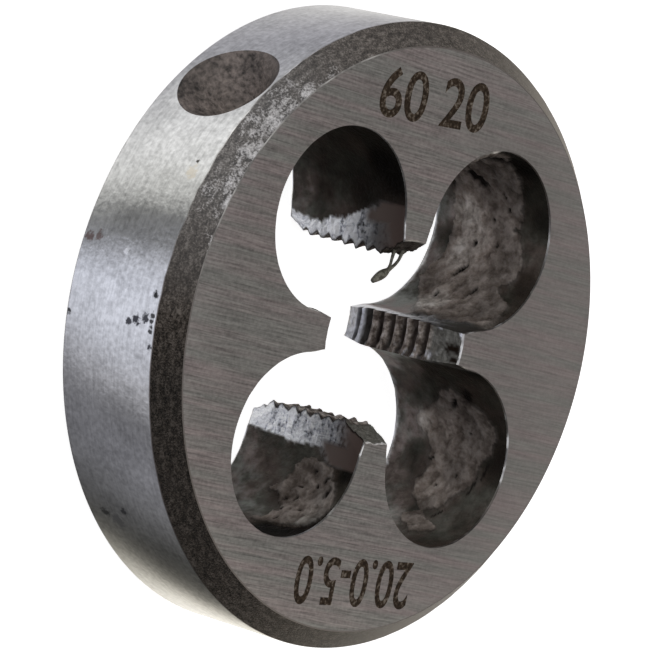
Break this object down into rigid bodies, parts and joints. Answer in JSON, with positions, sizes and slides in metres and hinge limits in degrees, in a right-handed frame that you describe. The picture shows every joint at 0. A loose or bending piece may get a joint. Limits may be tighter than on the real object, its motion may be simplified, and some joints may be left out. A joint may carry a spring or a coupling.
{
  "type": "round threading die",
  "caption": "Round steel threading die for fine M6 x 0.5 thread: a flat chamfered disc with chip holes round a threaded bore and set-screw dimples in its rim.",
  "frame": {"origin": "centre of the back face, on the thread's axis", "axes": "+Z along the thread's axis, out of the front face, where the lead-in is longer; the lands stand on the X and Y axes; the set-screw dimples lie at 45 and 135 degrees from +X"},
  "size_m": [0.02, 0.02, 0.005],
  "materials": {
    "tool_steel": "hardened tool steel: faces and rim ground bright, chamfer and holes left dark from hardening"
  },
  "bodies": {
    "root": {"threading_die": "tool_steel"}
  },
  "joints": []
}
